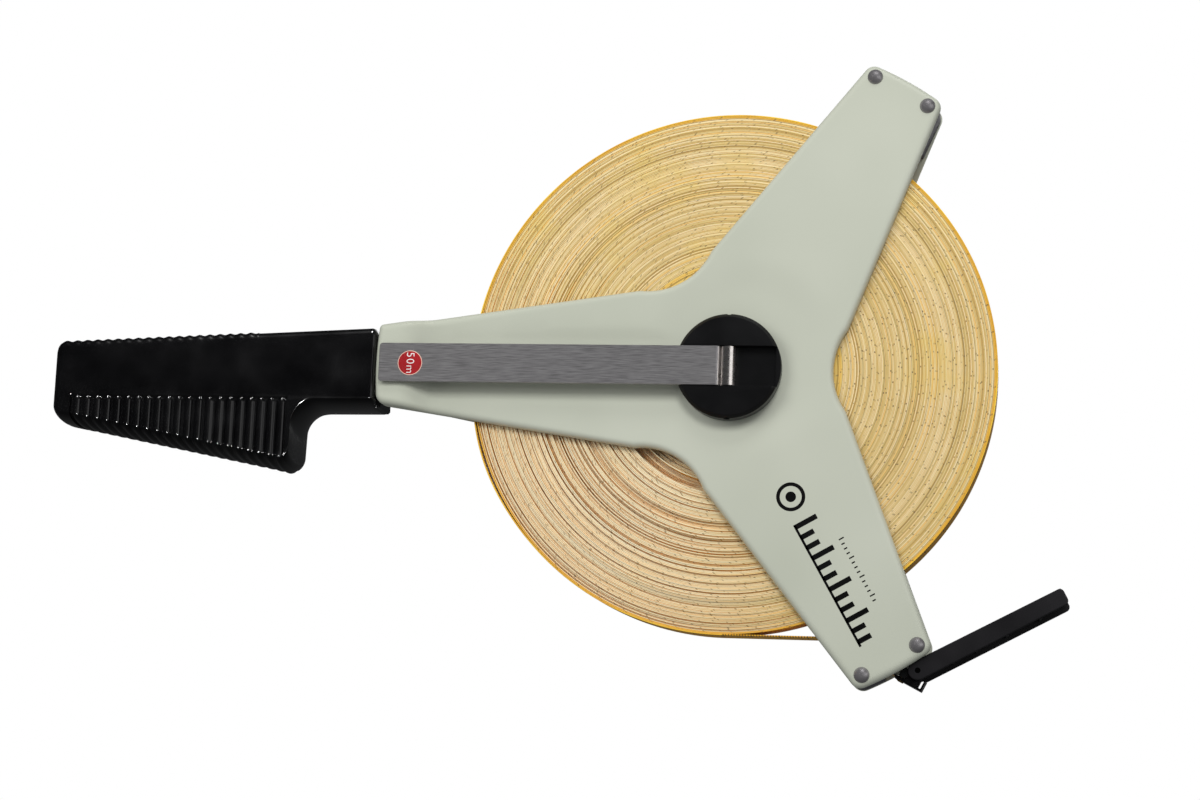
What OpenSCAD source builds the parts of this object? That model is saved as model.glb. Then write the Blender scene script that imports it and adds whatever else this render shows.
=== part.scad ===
// Open-frame surveyor's tape: a three-armed frame of two plates, a coil of fibreglass tape on a
// drum between them, a crank that folds flat, a moulded grip and a hook with a handle bar.
// All sizes are in millimetres. The reel turns about Y, the crank is on the -Y side, the grip
// points to -X, and the origin is on the reel's axis in the middle of the tape's width.
// Each piece is drawn lying down, with the reel's axis along Z, and stand() tips it upright.

/* [Tape] */
// Width of the measuring tape
tape_w = 13; // [12:0.25:13]
// Thickness of the measuring tape
tape_t = 0.48; // [0.4:0.02:0.6]
// Radius of the coil when all the tape is wound in
coil_r = 95; // [92:0.5:95]
// Radius of the drum under the tape
drum_r = 36.5; // [35:0.5:38]

/* [Frame] */
// Clear space between the two plates
plate_gap = 15; // [15:0.1:15.4]
// Thickness of each plate
plate_t = 3; // [2.5:0.1:3.2]
// Half width that an arm's edges would have at the reel's axis
arm_root = 28.7; // [28:0.1:29.5]
// Narrowing of an arm's half width per millimetre outwards
arm_taper = 0.109; // [0.1:0.001:0.12]
// Distance from the axis to the ends of the two tape arms
arm_end = 123.6; // [123:0.1:125]
// Distance from the axis to the end of the grip arm
grip_arm_end = 130; // [129.6:0.1:130.2]
// Radius of the hollow corners between the arms
corner_r = 25; // [20:1:30]
// Height of the front plate's raised pad beside the grip
pad_h = 4.9; // [3:0.1:5]
// Rivet shank radius
rivet_r = 1.6; // [1.4:0.05:1.7]
// Rivet head radius
rivet_head_r = 2.8; // [2.6:0.1:3.2]

/* [Grip] */
// Half thickness of the grip
grip_half_t = 15.5; // [13:0.5:15.5]
// Distance from the reel's axis to the grip's outer end
grip_far = 253; // [248:1:258]
// Number of finger ribs
rib_count = 21; // [10:1:21]
// Spacing of the finger ribs
rib_pitch = 3.94; // [3.6:0.02:3.96]

/* [Reel] */
// Radius of the hub disc that carries the crank
disc_r = 19; // [18:0.5:20]
// Radius of the hub disc's boss, which turns in the front bush
boss_r = 10; // [9:0.5:10]
// Radius of the steel spindle
spindle_r = 4; // [3.5:0.1:4.5]
// Radial running clearance of the turning parts
run_gap = 0.05; // [0.02:0.01:0.08]

/* [Crank] */
// Width of the crank strip
strip_w = 14.2; // [13:0.1:14.2]
// Thickness of the crank strip
strip_t = 1.6; // [1.2:0.1:1.6]
// Distance from the hinge to the crank's end
strip_len = 127.9; // [124:0.1:128]
// Outer radius of the strip's rolled hinge barrel
barrel_r = 2.6; // [2.4:0.1:2.6]
// Radius of the hinge pin
hinge_pin_r = 1.2; // [1:0.1:1.4]
// Distance from the hinge to the knob
knob_at = 107; // [106:0.5:107]
// Radius of the knob
knob_r = 5.8; // [4.5:0.1:6]

/* [Hook] */
// Fall of the drawn tape below the horizontal, in degrees
exit_fall = 27; // [26:0.5:28]
// Slope of the handle bar above the horizontal, in degrees
bar_rise = 28.2; // [27:0.1:29]
// Length of the handle bar from its pivot
bar_len = 59; // [50:1:64]
// Width of the handle bar's front cheek
bar_w = 6.9; // [6.4:0.1:7]
// Half of the handle bar's depth
bar_half_t = 6.5; // [6:0.1:6.5]

/* [Hidden] */
$fn = 96;

eps = 0.01;
fit = 0.02;                                    // gap between pieces that are fixed together
far = 400;                                     // a length beyond every edge of the object
plate_in = plate_gap/2;                        // height of the front plate's inner face
plate_out = plate_in + plate_t;                // height of the front plate's outer face
arm_angles = [60, 180, 300];
taper_deg = atan(arm_taper);

// rivets of one arm end, as [along the arm, across the arm]
rivet_u = 118.8;
rivet_v = 11;
rivet_dome = 1.8;

// raised pad: its slope starts at pad_foot and is level from pad_top outwards
pad_foot = 113.4;
pad_top = 117.2;

// screws of the grip's tongue
grip_screw_x = -122;
grip_screw_y = 6.5;
grip_screw_r = 1.5;
grip_screw_in = 1.8;                           // how far the screws reach into the raised pad
grip_screw_play = 0.2;

// blocks between the plates: spacer and tape mouth
spacer_from = 104.5;
spacer_inset = 0.4;
mouth_end = 3.1;                               // the mouth ends this far inside the plates' ends
mouth_side = 0.5;
mouth_tip_r = 3;
coil_clear = 2;
slot_play = 0.25;
rear_neck_u = 62;                              // where the rear plate's grip arm starts to slim
rear_neck_cut = 2.9;                           // how much slimmer it is at its end

// grip outline
grip_near = 130.4;                             // face that meets the plates
grip_top_l = 6.9;
grip_top_r = 13.3;
grip_low = -16.5;                              // underside beside the plates
guard_x = -160.5;                               // face of the finger guard
guard_sweep = 10.5;                             // hollow curve from guard to underside
guard_tip_r = 3.6;
guard_tip_y = -35.4;
grip_low_l = -22;                              // underside at the outer end
grip_round = 8;                                // rounding of the finger side
grip_edge = 3;                                 // rounding of the back of the hand side
rib_start_x = -243.4;
rib_r = 1.5;
rib_rise = 0.8;                                // depth of the ribbed side below the rest of the face
rib_z = grip_half_t - rib_r - 0.1;             // height of the ribs' centre lines
rib_top_y = -13;
rib_side_end = -162.4;                         // where the ribbed side meets the guard
top_slope = atan((grip_top_r - grip_top_l)/(grip_far - grip_near));
low_slope = atan((guard_tip_y - guard_tip_r - grip_low_l)/(grip_far + guard_x - guard_tip_r));
tongue_end = 113.8;
tongue_v = 11.8;
tongue_step = 127;
tongue_inset = 0.3;

// bushes, drum and spindle
front_bush_r = 12.5;
rear_bush_r = 6.5;
bush_lip = 2.2;
bush_in = 0.6;                                 // lip's thickness inside the plates
bush_out = 1;                                  // and outside the rear one
washer_r = 8.2;
washer_t = 0.6;
washer_dish = 1.2;
washer_play = 0.2;
washer_top = -plate_out - bush_out - 0.05;
drum_half = 6.4;
drum_rim = 3.5;
drum_hub_r = 12;
drum_web = 3;
drum_hole_r = 6;
drum_hole_at = 24;
flat_y = 3.2;                                  // flat of the spindle that drives the drum
drive_af = 5.6;                                // square that drives the hub disc
drive_top = 10;
head_r = 10;
head_bottom = -15.5;
head_top = -13.5;
head_edge = 0.8;
anchor_r = 1.5;
anchor_at = 30.5;
anchor_wall = 2;
anchor_slot = 0.6;                             // slot for the tape's inner end
slack_in = 5;                                  // the slack ring's start and end outside the drum
slack_out = 7;
slack_depth = 2;

// hub disc and crank
disc_foot = plate_out + 0.3;
hinge_h = 15.2;                                // height of the hinge pin's axis
strip_top = hinge_h + barrel_r;
strip_under = strip_top - strip_t;
slot_w = strip_w + 0.4;
slot_floor = hinge_h - barrel_r - 0.2;
disc_top = 17.3;
disc_edge = 1.2;                               // width of the disc's sloped edge
rim_lip_h = 14.7;                              // lip at the slot's ends, the crank's stop
rim_lip_in = 17.1;
screw_r = 1.45;
screw_head_r = 2.9;
screw_head_t = 1.5;
screw_play = 0.1;
seat_t = screw_head_t + 1.5*screw_play;
pin_inset = 2;                                 // the hinge pin ends this far inside the disc's edge
strip_corner = 1.2;
knob_foot = plate_out + 0.4;
knob_head = strip_under - 0.2;
axle_r = 2;
axle_neck_r = 1.4;                             // the knob pin's part that is riveted into the strip
pin_head_w = 1.2;
pin_head_low = 0.3;
pin_head_high = 1.1;
knob_edge = 1;
label_r = 4.55;
label_at = 116.2;
label_t = 0.15;

// path of the tape: level under the coil, then down through the mouth along exit_fall
lead_y = -(coil_r + fit + tape_t/2);
bend_x = 37.2;
bend_r = 8;
mouth_len = 27.7;                              // from the bend to the mouth's outer end
slot_h = tape_t + 1.2;
tip_start = 4;                                 // where the tip takes over from the lead
tip_back = 1;                                  // its full width ends this far inside the mouth

// end bracket, in the tape's own direction: s along the tape from the mouth, q above the tape
bracket_t = 0.7;
bracket_half = 4.4;
bracket_len = 10;
bracket_back = 0.5;
tongue_half = bracket_half - bracket_t - fit;  // the tape narrows here to pass between the ears
tongue_len = 6.5;
claw_h = 3;
pivot_s = 5.65;
pivot_q = 5;
ear_r = 2.4;
hook_pin_r = 0.9;
hook_pin_inset = 0.4;
tip_rivet_s = 1.6;
tip_rivet_z = 2.3;
tip_rivet_r = 0.6;
tip_rivet_head_r = 1.1;
tip_rivet_head_t = 0.35;

// handle bar, in its own direction from the pivot
cheek_t = 1.2;
web_t = 1.25;
web_from = 5;
rear_drop = 0.95;                              // the rear cheek stands this much lower
bar_ribs = [12, 21, 33, 46];
bar_rib_t = 1;
bar_rib_low = 0.8;
bar_corner = 2.5;
bar_end_t = 1.3;

function arm_half(u) = arm_root - arm_taper*u;
function rib_foot(x) = grip_low_l + (x + grip_far)*tan(low_slope) + grip_round;

module stand() rotate([90, 0, 0]) children();
module slab(low, high) translate([0, 0, low]) linear_extrude(high - low) children();
module on_arm(angle) rotate([0, 0, angle]) children();
module ring(outer, inner) difference() { circle(outer); circle(inner); }
module tube(outer, inner, low, high) translate([0, 0, low]) difference() {
    cylinder(r = outer, h = high - low);
    translate([0, 0, -1]) cylinder(r = inner, h = high - low + 2);
}
module rod(r, low, high) translate([0, 0, low]) cylinder(r = r, h = high - low);

// ---- outlines ----

// One arm along +X: straight tapering sides, an end curved about the axis, rounded corners
module arm_outline(end_r, inset = 0, tip_r = 4) {
    root = arm_root - inset;
    slant = sqrt(1 + pow(arm_taper, 2));
    a = root - tip_r*slant;                    // the tip circles' centres lie on a - arm_taper*u
    e = end_r - tip_r;
    cu = (a*arm_taper + sqrt(pow(e*slant, 2) - a*a))/pow(slant, 2);
    cv = a - arm_taper*cu;
    side = [cu + tip_r*arm_taper/slant, cv + tip_r/slant];
    nose = [cu, cv]*end_r/e;
    intersection() {
        circle(end_r, $fn = 360);
        union() {
            polygon([[0, root], side, nose, nose*1.1, [nose[0], -nose[1]]*1.1, [nose[0], -nose[1]],
                [side[0], -side[1]], [0, -root]]);
            for (v = [-cv, cv]) translate([cu, v]) circle(tip_r);
        }
    }
}

// Filled hollow corner between two arms, on the line half-way between them. The circle is eps
// too big, so that it crosses the arms' sides and doesn't just touch them.
module hollow_corner() {
    half_open = 60 - taper_deg;
    corner = arm_root/(sin(60) + arm_taper*cos(60));
    reach = corner_r/tan(half_open);
    centre = corner + corner_r/sin(half_open);
    touch = [corner + reach*cos(half_open), reach*sin(half_open)];
    difference() {
        polygon([[0, 0], touch + [-1, 1], touch, [touch[0], -touch[1]], [touch[0] - 1, -touch[1] - 1]]);
        translate([centre, 0]) circle(corner_r + eps);
    }
}

module plate_outline() {
    for (angle = arm_angles) {
        on_arm(angle) arm_outline(angle == 180 ? grip_arm_end : arm_end);
        on_arm(angle + 60) hollow_corner();
    }
}

// One plate before it is drilled: the outline and, to bind its pieces, the middle disc
module plate_blank(low) union() {
    slab(low, low + plate_t) plate_outline();
    rod(arm_root - plate_t, low, low + plate_t);
}

module at_rivets() for (angle = [60, 300], v = [-rivet_v, rivet_v])
    on_arm(angle) translate([rivet_u, v, 0]) children();

module at_grip_screws() for (y = [-grip_screw_y, grip_screw_y])
    translate([grip_screw_x, y, 0]) children();

// ---- frame ----

module front_plate() color("#c4c9bc") stand() difference() {
    union() {
        plate_blank(plate_in);
        intersection() {
            slab(plate_in, plate_out + pad_h) on_arm(180) arm_outline(grip_arm_end);
            rotate([90, 0, 0]) translate([0, 0, -far/2]) linear_extrude(far)
                polygon([[-pad_foot, plate_in], [-pad_foot, plate_out], [-pad_top, plate_out + pad_h],
                    [-far, plate_out + pad_h], [-far, plate_in]]);
        }
    }
    rod(front_bush_r + fit, 0, far);
    at_rivets() rod(rivet_r + fit, 0, far);
    at_grip_screws() rod(grip_screw_r + fit, 0, plate_out + grip_screw_in + grip_screw_play);
}

module rear_plate() color("#bfc4b7") stand() difference() {
    plate_blank(-plate_out);
    // the rear plate's grip arm is the slimmer one
    slab(-far, 0) on_arm(180) for (side = [-1, 1]) polygon([[rear_neck_u, side*arm_half(rear_neck_u)],
        [grip_arm_end + 1, side*(arm_half(grip_arm_end) - rear_neck_cut)],
        [grip_arm_end + 1, side*(arm_root + 1)], [rear_neck_u, side*(arm_root + 1)]]);
    rod(rear_bush_r + fit, -far, 0);
    at_rivets() rod(rivet_r + fit, -far, 0);
    at_grip_screws() rod(grip_screw_r + grip_screw_play, -far, 0);
}

module grip_outline() difference() {
    union() {
        polygon([[-grip_far, grip_top_l], [-grip_near, grip_top_r], [-grip_near, grip_low],
            [guard_x + guard_sweep, grip_low], [guard_x + guard_sweep, grip_low - guard_sweep],
            [guard_x, grip_low - guard_sweep], [guard_x, guard_tip_y],
            [guard_x - guard_tip_r, guard_tip_y - guard_tip_r], [-grip_far, grip_low_l]]);
        translate([guard_x - guard_tip_r, guard_tip_y]) circle(guard_tip_r);
    }
    translate([guard_x + guard_sweep, grip_low - guard_sweep]) circle(guard_sweep);
}

// Cuts both long edges of a body whose face lies along +X at y = 0, leaving them rounded.
// The circle is eps too big, so that it crosses the faces and doesn't just touch them.
module edge_cutters(half_t, edge) for (side = [0, 1]) mirror([0, 0, side])
    translate([-far/2, -edge, half_t - edge]) rotate([90, 0, 90]) linear_extrude(far) difference() {
        square(edge + 2);
        circle(edge + eps);
    }

module grip_body(half_t) difference() {
    slab(-half_t, half_t) grip_outline();
    translate([-grip_far, grip_top_l, 0]) rotate([0, 0, top_slope]) edge_cutters(half_t, grip_edge);
    translate([-grip_far, grip_low_l, 0]) rotate([0, 0, low_slope]) mirror([0, 1, 0])
        edge_cutters(half_t, grip_round);
}

module grip() color("#1b1b1d") stand() difference() {
    union() {
        difference() {
            grip_body(grip_half_t);
            // the ribbed side of both faces lies lower than the rest
            for (side = [0, 1]) mirror([0, 0, side]) slab(grip_half_t - rib_rise, far)
                translate([-far, rib_top_y - far]) square([far + rib_side_end, far]);
        }
        for (i = [0 : rib_count - 1], z = [-rib_z, rib_z])
            translate([rib_start_x + i*rib_pitch, rib_top_y + 1, z]) rotate([90, 0, 0])
                cylinder(r = rib_r, h = rib_top_y + 1 - rib_foot(rib_start_x + i*rib_pitch), $fn = 24);
        // tongue between the plates
        slab(-plate_in + fit, plate_in - fit) {
            translate([-grip_near - 1, grip_low + tongue_inset])
                square([grip_near + 1 - tongue_step, grip_top_r - grip_low - 2*tongue_inset]);
            translate([-tongue_step - 1, -tongue_v]) square([tongue_step + 1 - tongue_end, 2*tongue_v]);
        }
    }
    at_grip_screws() rod(grip_screw_r + fit, -far, far);
}

module dome(r, h) rotate_extrude() intersection() {
    translate([0, h - (r*r + h*h)/(2*h)]) circle((r*r + h*h)/(2*h), $fn = 180);
    square([r, h]);
}

module grip_screws() color("#b8b9b8") stand() at_grip_screws() {
    rod(grip_screw_r, -plate_out, plate_out + grip_screw_in);
    translate([0, 0, -plate_out]) mirror([0, 0, 1]) dome(rivet_head_r, rivet_dome);
}

module arm_spacer() color("#4a494d") stand() difference() {
    slab(-plate_in + fit, plate_in - fit) on_arm(60) intersection() {
        arm_outline(arm_end - spacer_inset, spacer_inset);
        translate([spacer_from, -far/2]) square([far, far]);
    }
    at_rivets() rod(rivet_r + fit, -far, far);
}

module tape_mouth() color("#3c3b3f") stand() difference() {
    slab(-plate_in + fit, plate_in - fit) on_arm(300) difference() {
        arm_outline(arm_end - mouth_end, mouth_side, mouth_tip_r);
        circle(coil_r + coil_clear, $fn = 180);
    }
    slab(-tape_w/2 - slot_play, tape_w/2 + slot_play) {
        translate([0, lead_y - slot_h/2]) square([bend_x, slot_h]);
        translate([bend_x, lead_y]) rotate(-exit_fall) translate([-fit, -slot_h/2]) square([far, slot_h]);
        translate([bend_x, lead_y]) circle(slot_h/2);
    }
    at_rivets() rod(rivet_r + fit, -far, far);
}

module arm_rivets() color("#9a9b9c") stand() at_rivets() {
    rod(rivet_r, -plate_out, plate_out);
    translate([0, 0, plate_out]) dome(rivet_head_r, rivet_dome);
    translate([0, 0, -plate_out]) mirror([0, 0, 1]) dome(rivet_head_r, rivet_dome);
}

module front_bush() color("#2b2b2d") stand() {
    tube(front_bush_r, boss_r + run_gap, plate_in - bush_in, plate_out);
    tube(front_bush_r + bush_lip, boss_r + run_gap, plate_in - bush_in, plate_in - fit);
}

module rear_bush() color("#2b2b2d") stand() {
    tube(rear_bush_r, spindle_r + run_gap, -plate_out - bush_out, -plate_in + bush_in);
    tube(rear_bush_r + bush_lip, spindle_r + run_gap, -plate_out - bush_out, -plate_out - fit);
}

// Tape between the coil and the inside of the mouth: level, a bend, then a short slope
module tape_lead() color("#e0a22c") stand() slab(-tape_w/2, tape_w/2) {
    reach = bend_r*tan(exit_fall/2);
    translate([0, lead_y - tape_t/2]) square([bend_x - reach, tape_t]);
    translate([bend_x - reach, lead_y - bend_r]) intersection() {
        ring(bend_r + tape_t/2, bend_r - tape_t/2);
        polygon([[0, 0], [0, 2*bend_r], [2*bend_r*tan(exit_fall), 2*bend_r]]);
    }
    translate([bend_x, lead_y]) rotate(-exit_fall) translate([reach, -tape_t/2])
        square([tip_start - 0.1 - reach, tape_t]);
}

// ---- reel ----

module spindle() color("#a9abad") stand() difference() {
    union() {
        rod(spindle_r, head_top - eps, drum_half);
        rod(head_r, head_bottom + head_edge, head_top);
        translate([0, 0, head_bottom]) cylinder(r1 = head_r - head_edge, r2 = head_r, h = head_edge);
        slab(drum_half - eps, drive_top) square(drive_af, center = true);
    }
    slab(-drum_half, drum_half) translate([-far/2, flat_y]) square([far, far]);
    rod(screw_r + fit, 0, far);
}

// Dished spring washer between the rear bush and the spindle's head: the reel's drag
module spring_washer() color("#8f9193") stand() rotate_extrude() polygon([
    [spindle_r + washer_play, washer_top], [washer_r, washer_top - washer_dish],
    [washer_r, washer_top - washer_dish - washer_t], [spindle_r + washer_play, washer_top - washer_t]]);

module reel_drum() color("#d9cf9a") stand() difference() {
    union() {
        tube(drum_r, drum_r - drum_rim, -drum_half, drum_half);
        tube(drum_r - drum_rim + eps, drum_hub_r - eps, -drum_web/2, drum_web/2);
        rod(drum_hub_r, -drum_half, drum_half);
        on_arm(90) translate([anchor_at, 0, 0]) rod(anchor_r + anchor_wall, -drum_half, drum_half);
    }
    for (angle = [0 : 60 : 300]) on_arm(angle) translate([drum_hole_at, 0, 0]) rod(drum_hole_r, -far, far);
    slab(-far, far) intersection() {
        circle(spindle_r + fit);
        translate([-far/2, -far + flat_y + fit]) square([far, far]);
    }
    on_arm(90) translate([anchor_at, 0, 0]) rod(anchor_r + fit, -far, far);
    on_arm(90) slab(-drum_half - 1, drum_half + 1) translate([anchor_at, anchor_r - anchor_slot])
        square([drum_r, anchor_slot]);
}

module tape_anchor() color("#a9abad") stand() on_arm(90) translate([anchor_at, 0, 0])
    rod(anchor_r, -drum_half, drum_half);

// The wound tape, with the slack ring near its inner end as a groove in both faces
module tape_coil() color("#e3c57e") stand() difference() {
    tube(coil_r, drum_r + fit, -tape_w/2, tape_w/2);
    for (z = [-1, 1]) translate([0, 0, z*tape_w/2]) tube(drum_r + slack_out, drum_r + slack_in,
        -slack_depth, slack_depth);
}

module hub_disc() color("#1f1f21") stand() difference() {
    union() {
        rod(disc_r, disc_foot, disc_top - disc_edge);
        translate([0, 0, disc_top - disc_edge])
            cylinder(r1 = disc_r, r2 = disc_r - disc_edge, h = disc_edge);
        rod(boss_r, drum_half + fit, disc_foot + eps);
    }
    slab(slot_floor, far) translate([-rim_lip_in, -slot_w/2]) square([2*rim_lip_in, slot_w]);
    slab(rim_lip_h, far) translate([-far/2, -slot_w/2]) square([far, slot_w]);
    slab(0, drive_top + 0.1) square(drive_af + 2*fit, center = true);
    rod(screw_r + screw_play, 0, far);
    translate([0, 0, slot_floor - seat_t])
        cylinder(r1 = screw_r + screw_play, r2 = screw_head_r + 1.5*screw_play, h = seat_t + eps);
    translate([0, 0, hinge_h]) rotate([90, 0, 0]) translate([0, 0, -far/2])
        cylinder(r = hinge_pin_r + fit, h = far);
}

module disc_screw() color("#77797b") stand() {
    rod(screw_r, 1, slot_floor - screw_head_t - screw_play);
    translate([0, 0, slot_floor - screw_head_t - screw_play])
        cylinder(r1 = screw_r, r2 = screw_head_r, h = screw_head_t);
}

module hinge_pin() color("#c9cacb") stand() translate([0, 0, hinge_h]) rotate([90, 0, 0])
    translate([0, 0, -disc_r + pin_inset]) cylinder(r = hinge_pin_r, h = 2*(disc_r - pin_inset));

// ---- crank ----

// Flat strip whose root is rolled round the hinge pin
module crank_arm() color("#8e8f90") stand() difference() {
    union() {
        slab(strip_under, strip_top) union() {
            translate([-strip_len + strip_corner, -strip_w/2]) square([strip_len - strip_corner, strip_w]);
            translate([-strip_len, -strip_w/2 + strip_corner])
                square([2*strip_corner, strip_w - 2*strip_corner]);
            for (side = [-1, 1]) translate([-strip_len + strip_corner, side*(strip_w/2 - strip_corner)])
                circle(strip_corner);
        }
        translate([0, strip_w/2, hinge_h]) rotate([90, 0, 0]) cylinder(r = barrel_r, h = strip_w);
    }
    translate([0, far/2, hinge_h]) rotate([90, 0, 0]) cylinder(r = hinge_pin_r + run_gap, h = far);
    translate([-knob_at, 0, 0]) rod(axle_neck_r + fit, 0, far);
}

module knob_pin() color("#9a9b9c") stand() translate([-knob_at, 0, 0]) {
    rod(axle_neck_r, knob_foot + pin_head_high, strip_top);
    rod(axle_r, knob_foot + pin_head_low, strip_under - fit);
    rod(axle_r + pin_head_w, knob_foot + pin_head_low, knob_foot + pin_head_high);
}

module crank_knob() color("#1b1b1d") stand() translate([-knob_at, 0, 0]) rotate_extrude() difference() {
    union() {
        translate([0, knob_foot]) square([knob_r - knob_edge, knob_head - knob_foot]);
        translate([0, knob_foot + knob_edge]) square([knob_r, knob_head - knob_foot - 1.6*knob_edge]);
        translate([knob_r - knob_edge, knob_foot + knob_edge]) circle(knob_edge, $fn = 32);
    }
    translate([-1, 0]) square([axle_r + run_gap + 1, far]);
    translate([-1, 0])
        square([axle_r + pin_head_w + screw_play + 1, knob_foot + pin_head_high + screw_play]);
}

module length_label() color("#b3161c") stand() translate([-label_at, -0.3, 0])
    rod(label_r, strip_top, strip_top + label_t);

// ---- tape end ----

// Places its children at the mouth's outer end, with X along the drawn tape
module at_mouth() translate([bend_x, lead_y, 0]) rotate([0, 0, -exit_fall])
    translate([mouth_len, 0, 0]) children();
module at_pivot() at_mouth() translate([pivot_s, pivot_q, 0]) children();

module tape_tip() color("#e0a22c") stand() at_mouth() difference() {
    union() {
        slab(-tape_w/2, tape_w/2) translate([tip_start - mouth_len, -tape_t/2])
            square([mouth_len - tip_start - tip_back, tape_t]);
        slab(-tongue_half, tongue_half) translate([-2*tip_back, -tape_t/2])
            square([tongue_len + 2*tip_back, tape_t]);
    }
    at_tip_rivets() rod(tip_rivet_r + fit, -far, far);
}

module at_tip_rivets() for (z = [-tip_rivet_z, tip_rivet_z])
    translate([tip_rivet_s, 0, z]) rotate([90, 0, 0]) children();

// Steel claw: a base under the tape, a turned-up lip and two ears for the handle bar's pin
module end_bracket() color("#b4b6b8") stand() at_mouth() difference() {
    base_y = -tape_t/2 - fit;
    union() {
        slab(-bracket_half, bracket_half) {
            translate([-bracket_back, base_y - bracket_t]) square([bracket_len + bracket_back, bracket_t]);
            translate([bracket_len - bracket_t, base_y - bracket_t])
                square([bracket_t, claw_h - base_y + bracket_t]);
        }
        for (z = [-bracket_half, bracket_half - bracket_t]) slab(z, z + bracket_t) {
            translate([pivot_s, pivot_q]) circle(ear_r);
            translate([pivot_s - ear_r, base_y - bracket_t])
                square([2*ear_r, pivot_q - base_y + bracket_t]);
        }
    }
    translate([pivot_s, pivot_q, 0]) rod(hook_pin_r + fit, -far, far);
    at_tip_rivets() rod(tip_rivet_r + fit, -far, far);
}

module tip_rivets() color("#caa24a") stand() at_mouth() at_tip_rivets() {
    under = tape_t/2 + bracket_t + 2*fit;
    rod(tip_rivet_r, -tape_t/2, under);
    rod(tip_rivet_head_r, -tape_t/2 - tip_rivet_head_t, -tape_t/2);
    rod(tip_rivet_head_r, under, under + tip_rivet_head_t);
}

module hook_pin() color("#77797b") stand() at_pivot() rod(hook_pin_r, -bar_half_t + hook_pin_inset,
    bar_half_t - hook_pin_inset);

// ---- handle bar ----

module bar_cheek(low) {
    circle(bar_w/2);
    translate([0, low]) square([bar_len - bar_corner, bar_w/2 - low]);
    translate([0, low + bar_corner]) square([bar_len, bar_w/2 - low - bar_corner]);
    translate([bar_len - bar_corner, low + bar_corner]) circle(bar_corner);
}

module hook_handle() color("#1b1b1d") stand() at_pivot() rotate([0, 0, exit_fall + bar_rise]) difference() {
    union() {
        slab(bar_half_t - cheek_t, bar_half_t) bar_cheek(-bar_w/2);
        slab(-bar_half_t, -bar_half_t + cheek_t) difference() {
            bar_cheek(-bar_w/2 - rear_drop);
            translate([-bar_w, -1.5*bar_w]) square([bar_w + eps, bar_w]);
        }
        slab(-bar_half_t, bar_half_t) {
            translate([web_from, bar_w/2 - web_t]) square([bar_len - web_from, web_t]);
            translate([bar_len - bar_end_t, -bar_w/2 + bar_corner]) square([bar_end_t, bar_w - bar_corner]);
            for (a = bar_ribs) translate([a, -bar_w/2 + bar_rib_low])
                square([bar_rib_t, bar_w - bar_rib_low - eps]);
        }
    }
    rod(hook_pin_r + run_gap, -far, far);
}

front_plate();
rear_plate();
grip();
grip_screws();
arm_spacer();
tape_mouth();
arm_rivets();
front_bush();
rear_bush();
tape_lead();
spindle();
spring_washer();
reel_drum();
tape_anchor();
tape_coil();
hub_disc();
disc_screw();
hinge_pin();
crank_arm();
knob_pin();
length_label();
crank_knob();
tape_tip();
end_bracket();
tip_rivets();
hook_pin();
hook_handle();
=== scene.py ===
"""Looks of the surveyor's tape reel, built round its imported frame.

Shapes are drawn as if the reel lay on a table, in millimetres: x to the right, y up in the picture
and w towards the viewer. place() turns such a point into the frame's metres.
"""

import math
import random

import bmesh
import bpy
from mathutils import Matrix, Vector
from mathutils.geometry import delaunay_2d_cdt


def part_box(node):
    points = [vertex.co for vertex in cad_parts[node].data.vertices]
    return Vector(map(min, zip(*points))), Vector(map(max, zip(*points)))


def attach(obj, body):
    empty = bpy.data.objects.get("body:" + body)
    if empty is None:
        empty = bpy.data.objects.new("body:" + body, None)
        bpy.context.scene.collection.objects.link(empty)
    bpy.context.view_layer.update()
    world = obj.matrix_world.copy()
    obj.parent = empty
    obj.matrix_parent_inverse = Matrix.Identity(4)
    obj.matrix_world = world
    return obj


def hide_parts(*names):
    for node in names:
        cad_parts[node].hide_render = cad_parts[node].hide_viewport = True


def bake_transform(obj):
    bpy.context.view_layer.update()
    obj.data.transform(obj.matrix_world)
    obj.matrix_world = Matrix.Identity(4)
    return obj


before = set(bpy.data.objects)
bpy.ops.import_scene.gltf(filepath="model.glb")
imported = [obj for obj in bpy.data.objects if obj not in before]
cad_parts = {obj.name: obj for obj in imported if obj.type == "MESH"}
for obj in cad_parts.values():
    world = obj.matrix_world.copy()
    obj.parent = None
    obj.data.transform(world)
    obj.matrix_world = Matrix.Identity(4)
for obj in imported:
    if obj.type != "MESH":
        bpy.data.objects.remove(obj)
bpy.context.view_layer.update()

MM = 0.001


def place(x, y, w):
    return Vector((x * MM, -w * MM, y * MM))


def reach(node, axis):
    """The lowest and highest coordinate of a CAD node along one axis of the frame, in millimetres."""
    low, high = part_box(node)
    return low[axis] / MM, high[axis] / MM


# ---- sizes, in millimetres ----

X, Y = 0, 1
PLATE_IN, PLATE_OUT = reach("rear_plate", Y)
PAD_TOP = -reach("front_plate", Y)[0]
GRIP_ARM_END = -reach("front_plate", X)[0]
TAPE_HALF = reach("tape_coil", Y)[1]
COIL_R = reach("tape_coil", X)[1]
DRUM_R = reach("reel_drum", X)[1]
TAPE_T = 0.48
TURNS = int((COIL_R - DRUM_R) / TAPE_T)
PITCH = (COIL_R - DRUM_R) / TURNS
# the inner turns that have sunk, and the side of the coil on which the turns lie loose
SLACK_R = (40.8, 44.4)
LOOSE_ANGLE = math.radians(222)

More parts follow.
